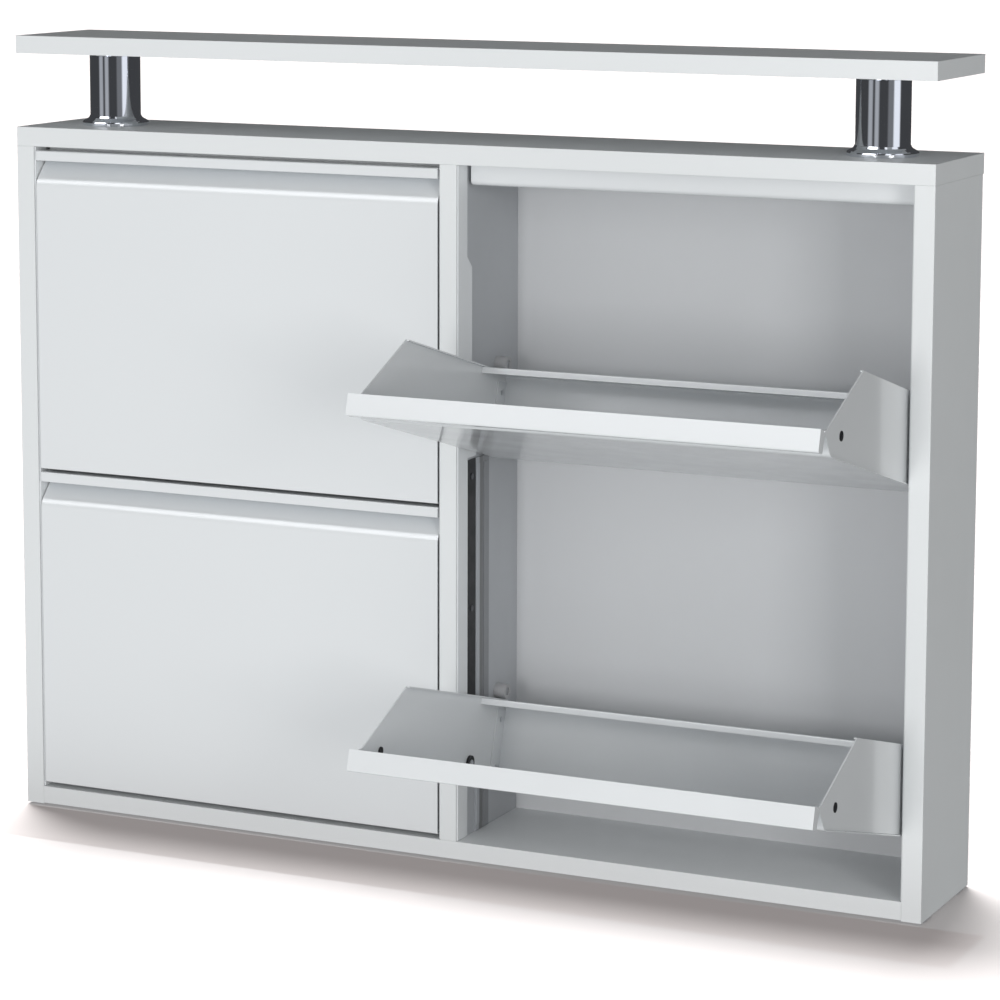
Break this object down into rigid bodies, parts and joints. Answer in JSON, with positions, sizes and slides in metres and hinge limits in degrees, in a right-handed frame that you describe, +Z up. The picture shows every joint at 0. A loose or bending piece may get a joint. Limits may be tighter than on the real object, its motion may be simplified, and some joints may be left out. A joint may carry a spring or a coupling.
{
  "type": "shoe cabinet",
  "caption": "Slim white shoe cabinet: two columns of steel tilt-out trays in a board carcass, with a raised shelf on chromed posts along the top.",
  "frame": {"origin": "on the floor, at the centre of the middle glide's underside: mid-width of the carcass and 78 mm behind its front edges", "axes": "+X to the cabinet's right as seen from the front, +Y towards the wall behind it, +Z up"},
  "size_m": [1.1, 0.4235, 0.9],
  "materials": {
    "white_board": "satin white melamine over chipboard",
    "back_board": "light grey printed hardboard",
    "white_steel": "gloss white powder coat",
    "grey_steel": "satin grey powder coat",
    "chrome": "polished",
    "zinc_steel": "bright zinc",
    "black_plastic": "matt",
    "grey_plastic": "matt",
    "white_plastic": "gloss",
    "beech": "plain",
    "black_steel": "black zinc"
  },
  "bodies": {
    "carcass": {"side_left": "white_board", "side_right": "white_board", "partition": "white_board", "top_board": "white_board", "bottom_board": "white_board", "back_panel": "back_board", "top_rail_left": "white_steel", "top_rail_right": "white_steel", "shelf_board": "white_board", "post_left": "chrome", "post_right": "chrome", "post_flanges": "chrome", "post_collars": "chrome", "post_studs": "zinc_steel", "uprights_upper": "white_steel", "uprights_lower": "grey_steel", "guide_strips": "black_plastic", "guide_screws": "black_steel", "stop_sleeves": "grey_plastic", "stop_screws": "zinc_steel", "pivot_pins": "zinc_steel", "floor_glides": "grey_plastic", "dowels": "beech", "cam_discs": "white_plastic", "back_nails": "zinc_steel", "wall_brackets": "zinc_steel", "bracket_screws": "zinc_steel"},
    "tray_ul": {"front_ul": "white_steel", "side_l_ul": "white_steel", "side_r_ul": "white_steel", "toe_ul": "white_steel", "bushes_ul": "black_plastic", "rivets_ul": "zinc_steel"},
    "tray_ll": {"front_ll": "white_steel", "side_l_ll": "white_steel", "side_r_ll": "white_steel", "toe_ll": "white_steel", "bushes_ll": "black_plastic", "rivets_ll": "zinc_steel"},
    "tray_ur": {"front_ur": "white_steel", "side_l_ur": "white_steel", "side_r_ur": "white_steel", "toe_ur": "white_steel", "bushes_ur": "black_plastic", "rivets_ur": "zinc_steel"},
    "tray_lr": {"front_lr": "white_steel", "side_l_lr": "white_steel", "side_r_lr": "white_steel", "toe_lr": "white_steel", "bushes_lr": "black_plastic", "rivets_lr": "zinc_steel"}
  },
  "joints": [
    {"name": "tray_ul_hinge", "type": "hinge", "parent": "carcass", "child": "tray_ul", "pos_m": [-0.269, -0.058, 0.481], "axis": [1, 0, 0], "range_deg": [0, 74.5]},
    {"name": "tray_ll_hinge", "type": "hinge", "parent": "carcass", "child": "tray_ll", "pos_m": [-0.269, -0.058, 0.1085], "axis": [1, 0, 0], "range_deg": [0, 74.5]},
    {"name": "tray_ur_hinge", "type": "hinge", "parent": "carcass", "child": "tray_ur", "pos_m": [0.269, -0.058, 0.481], "axis": [1, 0, 0], "range_deg": [-74.5, 0]},
    {"name": "tray_lr_hinge", "type": "hinge", "parent": "carcass", "child": "tray_lr", "pos_m": [0.269, -0.058, 0.1085], "axis": [1, 0, 0], "range_deg": [-74.5, 0]}
  ]
}
